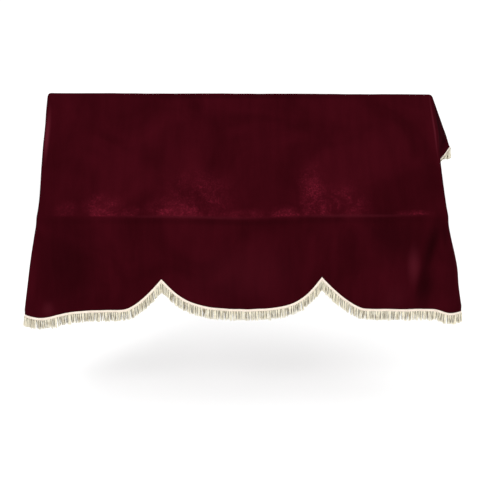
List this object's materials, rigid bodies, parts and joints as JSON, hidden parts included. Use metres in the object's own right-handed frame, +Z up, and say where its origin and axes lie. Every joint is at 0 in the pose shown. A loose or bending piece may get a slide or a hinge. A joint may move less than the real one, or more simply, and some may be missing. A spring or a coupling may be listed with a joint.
{
  "type": "piano cover",
  "caption": "Fitted burgundy velvet piano cover with a flat top, a sloping front, a straight front drop and a scalloped hem trimmed with cream fringe.",
  "frame": {"origin": "middle of the underside of the flat top", "axes": "+X along the width to the right, +Y to the back, +Z up, the fringed front towards -Y"},
  "size_m": [1.7895, 0.7328, 0.9174],
  "materials": {
    "velvet": "soft burgundy pile",
    "yarn": "cream twisted yarn"
  },
  "bodies": {
    "root": {"cloth": "velvet", "fringe_front": "yarn", "fringe_left": "yarn", "fringe_right": "yarn"}
  },
  "joints": []
}
